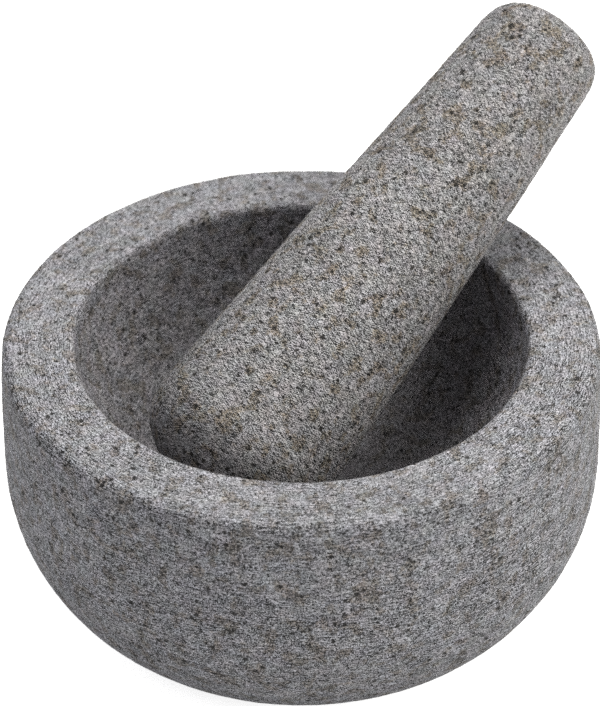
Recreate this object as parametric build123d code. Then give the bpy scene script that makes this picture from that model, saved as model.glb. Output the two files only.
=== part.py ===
from build123d import *

import os
from math import cos, radians, sin, sqrt

# A round stone mortar with its pestle leaning in it. Each is one solid body of revolution.
# The origin is the centre of the mortar's flat base, +Z is up, and the pestle leans towards +X.
# Lengths are in millimetres and angles in degrees.

# Mortar
MORTAR_HEIGHT = 80.0
WIDEST_RADIUS = 76.0
WIDEST_HEIGHT = 46.0
RIM_RADIUS = 75.0
MOUTH_RADIUS = 56.85
HOLLOW_DEPTH = 48.0
HOLLOW_FULLNESS = 0.55
SIDE_CURVE = 49.5
RIM_OUTER_ROUND = 3.0
RIM_INNER_ROUND = 2.0
BASE_ROUND = 8.0

# Pestle, measured along its own axis from the tip of the grinding head
PESTLE_LENGTH = 155.0
HEAD_RADIUS = 25.1
HEAD_DOME = 18.0
HEAD_FULLNESS = 0.58
GRIP_RADIUS = 16.8
GRIP_DOME = 11.2
GRIP_FULLNESS = 0.75
SHAFT_SWELL = 0.3

# How the pestle rests: its head on the hollow and its shaft on the rim, each with a hair of clearance
LEAN = 28.8
AXIS_DEPTH = 8.95
HEAD_REACH = 42.9


def end_curve(side, direction, pole, fullness):
    """A round end in a sketch: leaves the side point along direction and meets the axis squarely at pole."""
    side = Vector(side)
    handle = side + Vector(direction) * fullness * abs(pole - side.Y)
    return Bezier(side, handle, (fullness * side.X, pole), (0, pole))


def mortar_section():
    """Half of the mortar's cross-section, in the XZ plane, before its edges are rounded."""
    base_radius = WIDEST_RADIUS - SIDE_CURVE + sqrt(SIDE_CURVE**2 - WIDEST_HEIGHT**2)
    widest = (WIDEST_RADIUS, WIDEST_HEIGHT)
    mouth = (MOUTH_RADIUS, MORTAR_HEIGHT)
    with BuildSketch(Plane.XZ) as section:
        with BuildLine():
            Line((0, 0), (base_radius, 0))
            RadiusArc((base_radius, 0), widest, -SIDE_CURVE)
            wall = TangentArc(widest, (RIM_RADIUS, MORTAR_HEIGHT), tangent=(0, 1))
            Line(wall @ 1, mouth)
            hollow = end_curve(mouth, (0, -1), MORTAR_HEIGHT - HOLLOW_DEPTH, HOLLOW_FULLNESS)
            Line(hollow @ 1, (0, 0))
        make_face()
    return section.sketch


def round_edge(stone, face_place, edge_place, radius):
    """Rounds one circle of a flat horizontal face: places count from the lowest face and the shortest edge."""
    face = stone.faces().filter_by(Plane.XY).sort_by(Axis.Z)[face_place]
    return fillet(face.edges().sort_by(SortBy.LENGTH)[edge_place], radius)


def mortar():
    """The bowl: a thick wall that turns under to a flat base, a flat rim and an oval hollow."""
    stone = revolve(mortar_section(), Axis.Z)
    stone = round_edge(stone, -1, -1, RIM_OUTER_ROUND)
    stone = round_edge(stone, -1, 0, RIM_INNER_ROUND)
    return round_edge(stone, 0, -1, BASE_ROUND)


def pestle_section():
    """Half of the pestle's outline, upright in the XZ plane with the tip of its head at the origin."""
    grip_height = PESTLE_LENGTH - GRIP_DOME
    middle = ((HEAD_RADIUS + GRIP_RADIUS) / 2 + SHAFT_SWELL, (HEAD_DOME + grip_height) / 2)
    with BuildSketch(Plane.XZ) as section:
        with BuildLine():
            shaft = ThreePointArc((HEAD_RADIUS, HEAD_DOME), middle, (GRIP_RADIUS, grip_height))
            end_curve(shaft @ 0, -(shaft % 0), 0, HEAD_FULLNESS)
            end_curve(shaft @ 1, shaft % 1, PESTLE_LENGTH, GRIP_FULLNESS)
            Line((0, PESTLE_LENGTH), (0, 0))
        make_face()
    return section.sketch


def pestle():
    """The tapered pestle with a rounded head and a blunter grip end, leaning in the bowl."""
    tip_x = -HEAD_REACH * cos(radians(LEAN))
    tip_z = MORTAR_HEIGHT - AXIS_DEPTH - HEAD_REACH * sin(radians(LEAN))
    upright = revolve(pestle_section(), Axis.Z)
    return Pos(tip_x, 0, tip_z) * Rot(Y=90 - LEAN) * upright


os.makedirs("parts", exist_ok=True)
for name, shape in {"mortar": mortar(), "pestle": pestle()}.items():
    export_step(shape, f"parts/{name}.step")
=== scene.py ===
import math
from dataclasses import dataclass

import bmesh
import bpy
import numpy as np
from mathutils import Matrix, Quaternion, Vector, kdtree


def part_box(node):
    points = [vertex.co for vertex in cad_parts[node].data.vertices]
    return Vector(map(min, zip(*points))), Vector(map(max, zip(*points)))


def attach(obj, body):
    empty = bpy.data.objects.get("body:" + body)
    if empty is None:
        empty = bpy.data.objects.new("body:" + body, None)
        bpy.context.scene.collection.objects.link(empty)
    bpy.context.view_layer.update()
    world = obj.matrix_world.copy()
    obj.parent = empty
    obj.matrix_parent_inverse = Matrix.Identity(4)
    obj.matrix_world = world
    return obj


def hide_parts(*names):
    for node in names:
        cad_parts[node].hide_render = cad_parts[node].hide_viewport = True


# A granite mortar and its pestle, each remade as a fine closed mesh with the relief of a turned and
# hand-ground stone, and covered in a procedural granite. Lengths are in metres unless a comment says mm.

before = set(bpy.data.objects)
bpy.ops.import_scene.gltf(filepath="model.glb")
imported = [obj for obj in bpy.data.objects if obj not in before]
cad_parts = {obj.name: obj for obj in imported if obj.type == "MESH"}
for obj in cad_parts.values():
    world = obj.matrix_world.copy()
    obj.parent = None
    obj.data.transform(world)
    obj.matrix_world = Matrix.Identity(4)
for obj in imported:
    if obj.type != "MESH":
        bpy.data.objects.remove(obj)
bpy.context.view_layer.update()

UP = np.array([0.0, 0.0, 1.0])
MM = 0.001

# Meshes: squares across each round end, rows of squares along the rest of the outline
MORTAR_SQUARES, MORTAR_ROWS = 118, 150
PESTLE_SQUARES, PESTLE_ROWS = 70, 300
BEND_WEIGHT = 0.010  # a bend of one radian gets as many rows as this length of straight outline
OUTLINE_SAMPLES = 4001
SMOOTHING_WINDOW = 25  # samples
WELD_DISTANCE = 1e-6
IN_THE_WALL = (0.72, 0.25)  # a point in the mortar's section, as shares of its radius and height
TOP_TOLERANCE = 0.01 * MM

# Relief: each layer's wavelength and height (mm)
RELIEF = {
    "hand-ground waves": (42, 0.05),
    "dimples": (11, 0.022),
    "tool bands": (3.4, 0.030),
    "roughness": (2.6, 0.022),
}
BAND_STRETCH = 0.15  # tool bands run round a piece, so they change this much more slowly that way
WAVE_COUNT = 28
WAVE_SPREAD = (0.7, 1.4)

# Dents: the smallest and largest radius and depth (mm), and how rare the large ones are
PIT_RADII, PIT_DEPTHS, PIT_RARITY = (1.0, 1.7), (0.06, 0.18), 3
CHIP_RADII, CHIP_DEPTHS, CHIP_RARITY = (1.3, 2.5), (0.06, 0.22), 2
CHIP_REACH, CHIP_DROP = 1.5, 2.0  # how far beside and below the rim's edges chips lie (mm)
MORTAR_SEED, MORTAR_PITS, RIM_CHIPS = 11, 500, 12
PESTLE_SEED, PESTLE_PITS = 23, 300

# The camera, by where it stands round the bowl in degrees and what it looks at
CAMERA_AZIMUTH = -47.1
CAMERA_ELEVATION = 37.15
CAMERA_DISTANCE = 0.9375
CAMERA_LENS = 190.5
CAMERA_ROLL = -0.32
AIM_BELOW_RIM = 0.0044
AIM_LEFT = 0.0003
FOCUS_NEARER = 0.022  # how much nearer than the rim's centre the sharpest plane lies
F_STOP = 22
CAMERA_CLIP = (0.01, 20)

# Soft lights: how far right of, towards and above the bowl each lies as the camera sees it, its watts
# and its colour
LIGHT_DISTANCE = 0.9
LIGHT_SIZE = 0.5
WARM, COOL = (1.0, 0.995, 0.945), (0.98, 0.995, 1.04)
LIGHTS = {
    "key": ((1.0, 0.1, 1.1), 4.1, WARM),
    "low_right": ((1.0, 0.2, 0.35), 1.1, WARM),
    "front_right": ((0.8, 0.8, 0.6), 2.8, WARM),
    "overhead": ((0.1, -0.5, 1.0), 7.6, WARM),
    "fill": ((0.0, 1.0, 0.15), 0.55, COOL),
    "left": ((-0.9, 0.2, 1.0), 2.05, COOL),
}
DOME = 0.41  # the strength of the even light from all round
FLOOR_BOUNCE = 0.82  # how much of its light the white floor throws back on the stone
FLOOR_TONE, FLOOR_GLOW = 0.93, 0.75  # the floor as the camera sees it
FLOOR_REACH = 3.0
FLOOR_GAP = 0.05 * MM

# Granite. Scales are in grains, bumps or clusters per millimetre, and shades multiply the grey level.
GRAIN_SCALES = {"fine grains": 4.2, "coarse grains": 1.7, "speckle": 3.6}
MARK_SCALES = {"patches": 0.7, "clusters": 0.27, "clouds": 0.05}
GREY_WEIGHTS = {
    "fine grains": 1.0,
    "coarse grains": 0.20,
    "speckle": 2.7,
    "patches": 0.38,
    "clusters": 0.66,
    "clouds": 0.3,
}
BUMP_WEIGHTS = {"speckle": 0.8, "patches": 0.6}
LINE_BUMP, SPOT_BUMP = 0.5, -0.5
BUMP_DEPTH = 0.20 * MM
ROUGHNESS = (0.80, 0.60)  # of the darkest and lightest grains
SPECULAR = 0.2
FACING_UP = (0.7, 0.95)  # how far up a normal points where a face starts to be the top, and fully is; tops get painted light
BEND = 0.35  # how much the lightest grains are held back
DARKEST, LIGHTEST = 0.08, 0.75
DISPLAY_POWER = 2.2  # grey levels are even steps to the eye, and this turns them into reflectance
LINE_WIDTH = 0.31  # mm
LAYER_SHIFT = 3.0  # keeps tool lines of different tilts from sharing a pattern
RUST_SCALE, RUST_EDGE = 0.25, (0.46, 0.38)
RUST_SPECK_SCALE, RUST_SPECK_EDGE, RUST_SPECK_FLOOR = 1.8, (0.60, 0.42), 0.35
RUST_SHADE = 0.79
SPOTS = ((2.2, 0.15, 0.75), (1.4, 0.12, 0.50), (0.65, 0.07, 0.26))  # spacing, share and radius (mm)
SPARSE, CROWDED = 0.6, 2.6  # how the shares change outside and inside the rusty clusters
RAGGED_SCALE, RAGGED_SHARE = 2.5, 0.3  # how finely and how far a spot's edge strays from round
RAGGED_NOISE = (0.3, 0.7)  # the noise values that stray the furthest in and out
SPOT_CORE = 0.6  # the share of a spot's radius that is fully dark
SPOT_SHADE = 0.36
SPOT_STAIN = 0.4
FLECK_SCALE = 0.24
FLECK_GAIN = (0.46, 0.10, 0.44)
HEAD_SHADE_NEAR, HEAD_SHADE_REACH = 12.0, 48.0  # mm from the pestle's tip between which its painted shade fades out
# painted shade: the pestle's head is painted this dark at its tip, standing in for the shade round it in
# the bowl
HEAD_SHADE_PAINTED = 0.90
MOUTH_BLEND = 3.0  # mm
HOLLOW_FLOOR = 0.36  # a height below the hollow's floor, as a share of the mortar's height
HOLLOW_CONTRAST = 0.92
HOLLOW_SHADE_TINT = (1.025, 0.985, 1.055, 1)  # painted shade: the hollow is painted a little more purple than the outside, the cool colour of its shade


@dataclass
class Stone:
    """What sets one granite apart from the other."""

    tone: float  # the middle grey level
    contrast: float  # how far its grains stray from that
    tint: tuple  # the colour of the clean stone
    stain: tuple  # the colour of its rusty clusters
    spotted: float  # how many dark spots it has
    flecks: float  # how far its colour wanders
    lines: tuple  # (tilt in degrees, length in mm, weight) of each layer of tool lines
    fineness: float  # how much finer its grains and tool lines are than the scales say
    top_softness: float = 0.0  # how much contrast a face that points up loses
    top_painted_light: float = 1.0  # painted light: how much lighter a face that points up is painted, as light from above falls on it


MORTAR_STONE = Stone(
    tone=0.413,
    contrast=1.05,
    tint=(1.0, 0.99, 1.06, 1),
    stain=(1.09, 0.98, 0.91, 1),
    spotted=0.75,
    flecks=0.36,
    lines=((0, 1.2, 1.7), (0.6, 4.0, 0.9), (-0.4, 11.0, 0.75)),
    fineness=1.07,
    top_softness=0.22,
    # painted light: tops are painted this much lighter
    top_painted_light=1.08,
)
PESTLE_STONE = Stone(
    tone=0.428,
    contrast=1.09,
    tint=(1.03, 0.997, 1.02, 1),
    stain=(1.16, 0.985, 0.80, 1),
    spotted=0.82,
    flecks=0.40,
    lines=((17, 2.2, 2.1), (-19, 2.2, 2.1)),
    fineness=1.28,
)


# ---------------------------------------------------------------- shapes read off the CAD


def mesh_arrays(node):
    """A CAD node's vertices and triangles as arrays."""
    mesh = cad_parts[node].data
    mesh.calc_loop_triangles()
    points = np.array([v.co for v in mesh.vertices])
    triangles = np.array([t.vertices for t in mesh.loop_triangles])
    return points, triangles


def long_axis(node):
    """A long turned piece's lower tip and direction: its surface's longest principal axis, pointing up."""
    points, triangles = mesh_arrays(node)
    a, b, c = (points[triangles[:, k]] for k in range(3))
    areas = np.linalg.norm(np.cross(b - a, c - a), axis=1)
    centres = (a + b + c) / 3
    middle = np.average(centres, axis=0, weights=areas)
    spread = np.cov((centres - middle).T, aweights=areas)
    direction = np.linalg.eigh(spread)[1][:, -1]
    direction = direction * np.sign(direction[2])
    lowest = ((points - middle) @ direction).min()
    return middle + lowest * direction, direction


def outline(node, tip, direction, inside):
    """Half a turned piece's outline as (radius, height) points, in order round a point inside it."""
    points, _ = mesh_arrays(node)
    heights = (points - tip) @ direction
    radii = np.linalg.norm(points - tip - np.outer(heights, direction), axis=1)
    pairs = np.unique(np.round(np.column_stack((radii, heights)), 6), axis=0)
    angles = np.arctan2(pairs[:, 1] - inside[1], pairs[:, 0] - inside[0])
    return pairs[np.argsort(-angles)]


def spaced(line, count):
    """The outline resampled at count + 1 places, closer where it bends, and how far along each is."""
    steps = np.linalg.norm(np.diff(line, axis=0), axis=1)
    along = np.concatenate(([0], np.cumsum(steps)))
    fine = np.linspace(0, along[-1], OUTLINE_SAMPLES)
    curve = np.column_stack([np.interp(fine, along, line[:, k]) for k in range(2)])
    kernel = np.hanning(SMOOTHING_WINDOW)[1:-1]
    kernel /= kernel.sum()
    pad = len(kernel) // 2
    mirrored = np.vstack((curve[pad:0:-1] * (-1, 1), curve, curve[-2 : -pad - 2 : -1] * (-1, 1)))
    curve = np.column_stack([np.convolve(mirrored[:, k], kernel, "valid") for k in range(2)])
    curve[[0, -1], 0] = 0
    heading = np.unwrap(np.arctan2(*np.gradient(curve, axis=0).T[::-1]))
    cost = fine + BEND_WEIGHT * np.concatenate(([0], np.cumsum(np.abs(np.diff(heading)))))
    places = np.interp(np.linspace(0, cost[-1], count + 1), cost, fine)
    return np.column_stack([np.interp(places, fine, curve[:, k]) for k in range(2)]), places


# ---------------------------------------------------------------- meshes


def end_grid(squares):
    """A square grid bent into a disc: each corner's ring, its angle, and the grid's faces."""
    ticks = np.arange(squares + 1) * 2 - squares
    u, v = (g.ravel().astype(float) for g in np.meshgrid(ticks, ticks))
    ring = np.maximum(np.abs(u), np.abs(v))
    with np.errstate(divide="ignore", invalid="ignore"):
        angle = np.where(
            np.abs(u) >= np.abs(v),
            math.pi / 4 * v / u + math.pi * (u < 0),
            math.pi / 2 - math.pi / 4 * u / v + math.pi * (v < 0),
        )
    angle[ring == 0] = 0
    corner = np.arange(len(u)).reshape(squares + 1, squares + 1)
    faces = np.stack((corner[:-1, :-1], corner[:-1, 1:], corner[1:, 1:], corner[1:, :-1]), -1)
    return (ring / 2).round().astype(int), angle, faces.reshape(-1, 4)


def turned_net(squares, rows):
    """A closed net on an outline of squares + rows steps: each vertex's place and angle, and the faces."""
    around = 4 * squares
    half = squares // 2
    ring, angle, faces = end_grid(squares)
    side_place, side_angle = np.meshgrid(np.arange(rows + 1), np.arange(around), indexing="ij")
    side_angle = side_angle * 2 * math.pi / around - math.pi / 4
    corner = np.arange((rows + 1) * around).reshape(rows + 1, around)
    turned = np.roll(corner, -1, axis=1)
    side = np.stack((corner[:-1], corner[1:], turned[1:], turned[:-1]), -1).reshape(-1, 4)
    places = np.concatenate((ring, side_place.ravel() + half, squares + rows - ring))
    angles = np.concatenate((angle, side_angle.ravel(), angle))
    start = len(ring)
    last = start + corner.size
    return places, angles, np.concatenate((faces, side + start, faces[:, ::-1] + last))


def turned_mesh(name, line, tip, direction, squares, rows):
    """A closed mesh turned from the outline. Its attribute says how far round and along each point is."""
    curve, along = spaced(line, squares + rows)
    places, angles, faces = turned_net(squares, rows)
    across = np.array([1.0, 0.0, 0.0]) - direction * direction[0]
    across = across / np.linalg.norm(across)
    side = np.cross(direction, across)
    spoke = np.outer(np.cos(angles), across) + np.outer(np.sin(angles), side)
    points = tip + spoke * curve[places, :1] + direction * curve[places, 1:]
    mesh = bpy.data.meshes.new(name)
    mesh.from_pydata(points.tolist(), [], faces.tolist())
    widest = curve[:, 0].max()
    turning = np.column_stack((np.cos(angles) * widest, np.sin(angles) * widest, along[places]))
    mesh.attributes.new("turning", "FLOAT_VECTOR", "POINT").data.foreach_set("vector", turning.ravel())
    net = bmesh.new()
    net.from_mesh(mesh)
    bmesh.ops.remove_doubles(net, verts=net.verts, dist=WELD_DISTANCE)
    bmesh.ops.recalc_face_normals(net, faces=net.faces)
    net.to_mesh(mesh)
    net.free()
    mesh.shade_smooth()
    return mesh


def ripple(points, wavelength, seed):
    """Smooth noise of about unit size whose bumps are about one wavelength apart."""
    random = np.random.default_rng(seed)
    waves = random.normal(size=(3, WAVE_COUNT))
    spread = random.uniform(*WAVE_SPREAD, WAVE_COUNT)
    waves *= 2 * math.pi / wavelength * spread / np.linalg.norm(waves, axis=0)
    starts = random.uniform(0, 2 * math.pi, WAVE_COUNT)
    return np.sin(points @ waves + starts).sum(1) / math.sqrt(WAVE_COUNT / 2)


def dents(points, centres, radii, depths):
    """How deep each point is pressed in by round dents with soft edges."""
    tree = kdtree.KDTree(len(points))
    for k, point in enumerate(points):
        tree.insert(point, k)
    tree.balance()
    pressed = np.zeros(len(points))
    for centre, radius, depth in zip(centres, radii, depths):
        for _, k, distance in tree.find_range(centre, radius):
            pressed[k] = max(pressed[k], depth * (1 - (distance / radius) ** 2) ** 1.5)
    return pressed


def vectors(items, name):
    """One vector per item of a mesh's collection, as an array."""
    values = np.empty(len(items) * 3)
    items.foreach_get(name, values)
    return values.reshape(-1, 3)


def between(ends, size):
    """Lengths (mm) between two ends for sizes from 0 to 1, in metres."""
    return (ends[0] + (ends[1] - ends[0]) * size) * MM


def carve(mesh, seed, pits, chips=0, chip_places=None):
    """Gives a smooth turned mesh its relief: layers of waves and bands, pits, and chips off its edges."""
    random = np.random.default_rng(seed)
    points = vectors(mesh.vertices, "co")
    normals = vectors(mesh.vertices, "normal")
    banded = vectors(mesh.attributes["turning"].data, "vector") * (BAND_STRETCH, BAND_STRETCH, 1)
    relief = np.zeros(len(points))
    for step, (layer, (wavelength, height)) in enumerate(RELIEF.items(), 1):
        where = banded if layer == "tool bands" else points
        relief += height * MM * ripple(where, wavelength * MM, seed + step)
    centres = points[random.integers(0, len(points), pits)]
    size = random.uniform(0, 1, pits) ** PIT_RARITY
    relief -= dents(points, centres, between(PIT_RADII, size), between(PIT_DEPTHS, size))
    if chips:
        candidates = np.flatnonzero(chip_places(points))
        centres = points[random.choice(candidates, chips)]
        size = random.uniform(0, 1, chips) ** CHIP_RARITY
        relief -= dents(points, centres, between(CHIP_RADII, size), between(CHIP_DEPTHS, size))
    points = points + normals * relief[:, None]
    points[:, 2] = np.maximum(points[:, 2], 0)
    mesh.vertices.foreach_set("co", points.ravel())
    mesh.update()


def show(mesh, node, body, material):
    """Puts a finished mesh in the scene in place of its CAD node."""
    piece = bpy.data.objects.new(node + "_stone", mesh)
    bpy.context.scene.collection.objects.link(piece)
    mesh.materials.append(material)
    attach(piece, body)
    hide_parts(node)


def flat_rim():
    """The inner and outer radius of the mortar's flat top."""
    points, _ = mesh_arrays("mortar")
    top = points[points[:, 2] > points[:, 2].max() - TOP_TOLERANCE]
    radii = np.hypot(top[:, 0], top[:, 1])
    return radii.min(), radii.max()


def make_mortar(material):
    """The bowl, with its chips along the rim's inner and outer edges."""
    _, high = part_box("mortar")
    height, radius = high[2], high[0]
    line = outline("mortar", np.zeros(3), UP, (IN_THE_WALL[0] * radius, IN_THE_WALL[1] * height))
    mesh = turned_mesh("mortar_stone", line, np.zeros(3), UP, MORTAR_SQUARES, MORTAR_ROWS)
    inner, outer = flat_rim()

    def on_rim_edges(points):
        from_axis = np.hypot(points[:, 0], points[:, 1])
        edge = np.minimum(np.abs(from_axis - inner), np.abs(from_axis - outer))
        return (edge < CHIP_REACH * MM) & (points[:, 2] > height - CHIP_DROP * MM)

    carve(mesh, MORTAR_SEED, MORTAR_PITS, RIM_CHIPS, on_rim_edges)
    show(mesh, "mortar", "mortar", material)


def make_pestle(tip, direction, material):
    """The pestle, turned about its own leaning axis."""
    points, _ = mesh_arrays("pestle")
    length = ((points - tip) @ direction).max()
    line = outline("pestle", tip, direction, (0, length / 2))
    mesh = turned_mesh("pestle_stone", line, tip, direction, PESTLE_SQUARES, PESTLE_ROWS)
    carve(mesh, PESTLE_SEED, PESTLE_PITS)
    show(mesh, "pestle", "pestle", material)


# ---------------------------------------------------------------- granite


class Shader:
    """Builds a material's nodes: each call adds one node or a few, and returns an output."""

    def __init__(self, name):
        self.material = bpy.data.materials.new(name)
        self.material.use_nodes = True
        self.tree = self.material.node_tree
        self.surface = self.tree.nodes["Principled BSDF"]

    def add(self, kind, inputs=None, output=0, **settings):
        node = self.tree.nodes.new("ShaderNode" + kind)
        for key, value in settings.items():
            setattr(node, key, value)
        for key, value in (inputs or {}).items():
            self.feed(node.inputs[key], value)
        return node.outputs[output]

    def feed(self, socket, value):
        if isinstance(value, bpy.types.NodeSocket):
            self.tree.links.new(value, socket)
        else:
            socket.default_value = value

    def maths(self, operation, a, b=0.0):
        return self.add("Math", {0: a, 1: b}, operation=operation)

    def plus(self, a, b):
        return self.maths("ADD", a, b)

    def times(self, a, b):
        return self.maths("MULTIPLY", a, b)

    def about_zero(self, value, weight):
        """A pattern about a half, made one about zero and weighted."""
        return self.times(self.maths("SUBTRACT", value, 0.5), weight)

    def scaled(self, vector, by):
        return self.add("VectorMath", {0: vector, 1: (by, by, by)}, operation="MULTIPLY")

    def parts(self, vector):
        """A vector's three components."""
        first = self.add("SeparateXYZ", {0: vector})
        return first.node.outputs[0], first.node.outputs[1], first.node.outputs[2]

    def from_axis(self, x, y):
        return self.maths("SQRT", self.plus(self.times(x, x), self.times(y, y)))

    def spread(self, value, low, high, out_low=0.0, out_high=1.0):
        """The value carried from one range to another, and held at the ends."""
        return self.add("MapRange", {0: value, 1: low, 2: high, 3: out_low, 4: out_high})

    def fade(self, share, shade):
        """1 where the share is 0, and the shade where it is 1."""
        return self.spread(share, 0.0, 1.0, 1.0, shade)

    def noise(self, vector, detail=2.0, roughness=0.5, output="Fac"):
        inputs = {"Vector": vector, "Scale": 1.0, "Detail": detail, "Roughness": roughness}
        return self.add("TexNoise", inputs, output)

    def cells(self, vector):
        """A random colour for each cell."""
        return self.add("TexVoronoi", {"Vector": vector, "Scale": 1.0}, "Color")

    def grains(self, vector):
        """A random value for each mineral grain."""
        return self.add("SeparateColor", {0: self.cells(vector)})

    def mix(self, share, a, b, blend="MIX"):
        """Two colours mixed by a share."""
        node = self.tree.nodes.new("ShaderNodeMix")
        node.data_type = "RGBA"
        node.blend_type = blend
        for socket, value in ((node.inputs[0], share), (node.inputs[6], a), (node.inputs[7], b)):
            self.feed(socket, value)
        return node.outputs[2]


def tool_lines(s, turning, layers, width):
    """Fine lines about zero from turning and grinding: each layer runs round the piece at its own tilt."""
    x, y, along = s.parts(turning)
    angle = s.maths("ARCTAN2", s.times(y, -1.0), s.times(x, -1.0))
    around = s.times(angle, s.from_axis(x, y))
    lines = 0.0
    for tilt, length, weight in layers:
        climb = s.plus(along, s.times(around, math.tan(math.radians(tilt))))
        layer = {0: s.times(around, 1 / length), 1: s.times(climb, 1 / width), 2: tilt * LAYER_SHIFT}
        pattern = s.noise(s.add("CombineXYZ", layer), 0.0)
        lines = s.plus(lines, s.about_zero(pattern, weight))
    return lines


def rust(s, place):
    """1 inside the rusty clusters, 0 outside, whole and then broken up by paler specks."""
    clusters = s.spread(s.noise(s.scaled(place, RUST_SCALE)), *RUST_EDGE)
    specks = s.spread(s.noise(s.scaled(place, RUST_SPECK_SCALE), 1.0), *RUST_SPECK_EDGE, RUST_SPECK_FLOOR)
    return clusters, s.times(clusters, specks)


def dark_spots(s, place, spacing, share, radius):
    """1 inside round dark spots, 0 between them: a share of points about one spacing apart hold one."""
    colour = s.cells(s.scaled(place, 1 / spacing))
    distance = colour.node.outputs["Distance"]
    chosen = s.maths("LESS_THAN", s.add("SeparateColor", {0: colour}), share)
    stray = RAGGED_SHARE * radius
    ragged = s.spread(s.noise(s.scaled(place, RAGGED_SCALE), 1.0), *RAGGED_NOISE, -stray, stray)
    away = s.plus(s.times(distance, spacing), ragged)
    return s.times(s.spread(away, radius, radius * SPOT_CORE), chosen)


def all_spots(s, place, clusters, spotted):
    """The dark spots of every size, crowded into the rusty clusters."""
    crowding = s.spread(clusters, 0.0, 1.0, SPARSE * spotted, CROWDED * spotted)
    spots = 0.0
    for spacing, share, radius in SPOTS:
        spots = s.maths("MAXIMUM", spots, dark_spots(s, place, spacing, s.times(crowding, share), radius))
    return spots


def hollow_mask(s, place, mouth, floor):
    """1 on the surface of the hollow, 0 outside it, for a bowl whose axis is the Z axis (mm)."""
    x, y, z = s.parts(place)
    above = s.maths("GREATER_THAN", z, floor)
    return s.times(s.spread(s.from_axis(x, y), mouth, mouth - MOUTH_BLEND), above)


def stone_colour(s, place, stone, tint, stained, level):
    """The stone's colour: its grey level under a hue that wanders a little and is rusty where stained."""
    flecks = s.noise(s.scaled(place, FLECK_SCALE), output="Color")
    gain = tuple(stone.flecks * k for k in FLECK_GAIN)
    offset = tuple(1 - k / 2 for k in gain)
    wander = s.add("VectorMath", {0: flecks, 1: gain, 2: offset}, operation="MULTIPLY_ADD")
    hue = s.mix(1.0, wander, s.mix(stained, tint, stone.stain), "MULTIPLY")
    bounded = s.maths("MINIMUM", s.maths("MAXIMUM", level, DARKEST), LIGHTEST)
    brightness = s.maths("POWER", bounded, DISPLAY_POWER)
    grey = s.add("CombineColor", {0: brightness, 1: brightness, 2: brightness})
    return s.mix(1.0, grey, hue, "MULTIPLY")


def stone_patterns(s, place, fineness):
    """The patterns that make the grain, each about a half."""
    near = {name: s.scaled(place, scale * fineness) for name, scale in GRAIN_SCALES.items()}
    wide = {name: s.scaled(place, scale) for name, scale in MARK_SCALES.items()}
    return {
        "fine grains": s.grains(near["fine grains"]),
        "coarse grains": s.grains(near["coarse grains"]),
        "speckle": s.noise(near["speckle"], 0.0),
        "patches": s.noise(wide["patches"], 1.0),
        "clusters": s.noise(wide["clusters"], 3.0, 0.6),
        "clouds": s.noise(wide["clouds"]),
    }


def grain(s, stone, patterns, lines, facing_up):
    """The stone's light and dark about zero, softer on faces that point up."""
    grey = lines
    for pattern, weight in GREY_WEIGHTS.items():
        grey = s.plus(grey, s.about_zero(patterns[pattern], weight))
    soft = stone.contrast * (1 - stone.top_softness)
    return s.times(grey, s.spread(facing_up, 0.0, 1.0, stone.contrast, soft))


def painted_head_shade(s, place, tip):
    """Painted shade on a piece's end, darkest near its tip: the shade round the pestle's head where it
    rests in the bowl.
    """
    away = s.add("VectorMath", {0: place, 1: tuple(tip / MM)}, "Value", operation="DISTANCE")
    return s.spread(away, HEAD_SHADE_NEAR, HEAD_SHADE_REACH, HEAD_SHADE_PAINTED, 1.0)


def fine_relief(s, patterns, lines, spots):
    """The normal of the relief that is too fine for the mesh."""
    height = s.plus(s.times(lines, LINE_BUMP), s.times(spots, SPOT_BUMP))
    for pattern, weight in BUMP_WEIGHTS.items():
        height = s.plus(height, s.times(patterns[pattern], weight))
    return s.add("Bump", {"Strength": 1.0, "Distance": BUMP_DEPTH, "Height": height})


def granite(name, stone, hollow=None, shaded_head_tip=None):
    """Unpolished grey granite: salt-and-pepper grain, rusty clusters, dark spots and tool lines."""
    s = Shader(name)
    place = s.scaled(s.add("TexCoord", output="Object"), 1 / MM)
    turning = s.scaled(s.add("Attribute", output="Vector", attribute_name="turning"), 1 / MM)
    facing_up = s.spread(s.parts(s.add("TexCoord", output="Normal"))[2], *FACING_UP)
    patterns = stone_patterns(s, place, stone.fineness)
    lines = tool_lines(s, turning, stone.lines, LINE_WIDTH / stone.fineness)
    clusters, rusty = rust(s, place)
    spots = all_spots(s, place, clusters, stone.spotted)

    grey = grain(s, stone, patterns, lines, facing_up)
    tint = stone.tint
    if hollow:
        inside = hollow_mask(s, place, *hollow)
        grey = s.times(grey, s.fade(inside, HOLLOW_CONTRAST))
        # painted shade colour: the hollow is tinted cooler and more purple
        tint = s.mix(inside, tint, HOLLOW_SHADE_TINT)
    level = s.plus(s.plus(grey, s.times(s.times(grey, grey), -BEND)), 1.0)
    # rust and dark spots darken the stone; faces that point up get painted light, lighter as light from
    # above falls on them
    shades = [s.fade(rusty, RUST_SHADE), s.fade(spots, SPOT_SHADE), s.fade(facing_up, stone.top_painted_light)]
    # painted shade on the pestle's head
    if shaded_head_tip is not None:
        shades.append(painted_head_shade(s, place, shaded_head_tip))
    for shade in shades:
        level = s.times(level, shade)
    level = s.times(level, stone.tone)
    stained = s.maths("MAXIMUM", rusty, s.times(spots, SPOT_STAIN))

    surface = s.surface.inputs
    s.feed(surface["Base Color"], stone_colour(s, place, stone, tint, stained, level))
    s.feed(surface["Roughness"], s.spread(patterns["fine grains"], 0.0, 1.0, *ROUGHNESS))
    s.feed(surface["Specular IOR Level"], SPECULAR)
    s.feed(surface["Normal"], fine_relief(s, patterns, lines, spots))
    return s.material


# ---------------------------------------------------------------- stage


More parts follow.
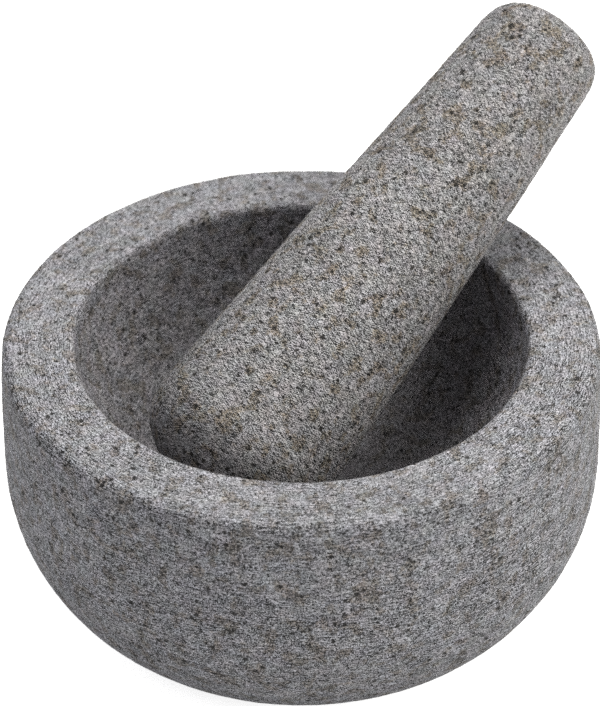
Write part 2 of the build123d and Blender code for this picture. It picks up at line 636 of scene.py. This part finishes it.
def make_floor():
    """A white floor just under the stone, which the camera sees as almost pure white."""
    mesh = bpy.data.meshes.new("floor")
    corners = [(-1, -1), (1, -1), (1, 1), (-1, 1)]
    points = [(x * FLOOR_REACH, y * FLOOR_REACH, -FLOOR_GAP) for x, y in corners]
    mesh.from_pydata(points, [], [(0, 1, 2, 3)])
    floor = bpy.data.objects.new("floor", mesh)
    bpy.context.scene.collection.objects.link(floor)
    s = Shader("pale_floor")
    seen = s.add("LightPath", output="Is Camera Ray")
    surface = s.surface.inputs
    s.feed(surface["Base Color"], s.mix(seen, (FLOOR_BOUNCE,) * 3 + (1,), (FLOOR_TONE,) * 3 + (1,)))
    s.feed(surface["Roughness"], 1.0)
    s.feed(surface["Specular IOR Level"], 0.0)
    s.feed(surface["Emission Color"], (1, 1, 1, 1))
    s.feed(surface["Emission Strength"], s.times(seen, FLOOR_GLOW))
    mesh.materials.append(s.material)


def make_world():
    """A white room for the camera, whose walls light the stone more weakly than the softboxes do."""
    world = bpy.data.worlds.new("studio")
    world.use_nodes = True
    bpy.context.scene.world = world
    tree = world.node_tree
    background = tree.nodes["Background"]
    background.inputs["Color"].default_value = (1, 1, 1, 1)
    seen = tree.nodes.new("ShaderNodeLightPath")
    strength = tree.nodes.new("ShaderNodeMapRange")
    strength.inputs["To Min"].default_value = DOME
    tree.links.new(seen.outputs["Is Camera Ray"], strength.inputs["Value"])
    tree.links.new(strength.outputs["Result"], background.inputs["Strength"])


def view_directions():
    """The camera's backward, right and up directions before its roll."""
    a, e = math.radians(CAMERA_AZIMUTH), math.radians(CAMERA_ELEVATION)
    back = Vector((math.sin(a) * math.cos(e), -math.cos(a) * math.cos(e), math.sin(e)))
    right = Vector((math.cos(a), math.sin(a), 0))
    return back, right, back.cross(right)


def add_light(name, target, place, power, colour):
    """A round softbox that faces the target from a place to its right, towards the camera and above it."""
    back, sideways, _ = view_directions()
    ahead = Vector((back.x, back.y, 0)).normalized()
    right, towards, up = place
    direction = (sideways * right + ahead * towards + Vector((0, 0, up))).normalized()
    lamp = bpy.data.lights.new(name, "AREA")
    lamp.shape = "DISK"
    lamp.size = LIGHT_SIZE
    lamp.energy = power
    lamp.color = colour
    light = bpy.data.objects.new(name, lamp)
    light.location = target + direction * LIGHT_DISTANCE
    light.rotation_mode = "QUATERNION"
    light.rotation_quaternion = direction.to_track_quat("Z", "Y")
    bpy.context.scene.collection.objects.link(light)


def make_camera(rim_centre):
    """The camera, with its sharpest plane a little nearer than the rim's centre."""
    back, right, up = view_directions()
    data = bpy.data.cameras.new("camera")
    data.lens = CAMERA_LENS
    data.clip_start, data.clip_end = CAMERA_CLIP
    camera = bpy.data.objects.new("camera", data)
    camera.location = rim_centre + back * CAMERA_DISTANCE
    aim = rim_centre - up * AIM_BELOW_RIM - right * AIM_LEFT
    sight = camera.location - aim
    camera.rotation_mode = "QUATERNION"
    roll = Quaternion(sight.normalized(), math.radians(CAMERA_ROLL))
    camera.rotation_quaternion = roll @ sight.to_track_quat("Z", "Y")
    focus = bpy.data.objects.new("focus", None)
    focus.location = rim_centre + back * FOCUS_NEARER
    data.dof.use_dof = True
    data.dof.focus_object = focus
    data.dof.aperture_fstop = F_STOP
    for thing in (camera, focus):
        bpy.context.scene.collection.objects.link(thing)
    bpy.context.scene.camera = camera


def main():
    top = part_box("mortar")[1][2]
    rim_centre = Vector((0, 0, top))
    hollow = (flat_rim()[0] / MM, HOLLOW_FLOOR * top / MM)
    make_mortar(granite("mortar_granite", MORTAR_STONE, hollow))
    tip, direction = long_axis("pestle")
    make_pestle(tip, direction, granite("pestle_granite", PESTLE_STONE, shaded_head_tip=tip))
    make_floor()
    make_world()
    for name, (place, power, colour) in LIGHTS.items():
        add_light(name, rim_centre, place, power, colour)
    make_camera(rim_centre)
    bpy.context.scene.view_settings.view_transform = "Standard"
    bpy.context.scene.cycles.use_denoising = False
    bpy.context.view_layer.update()


main()
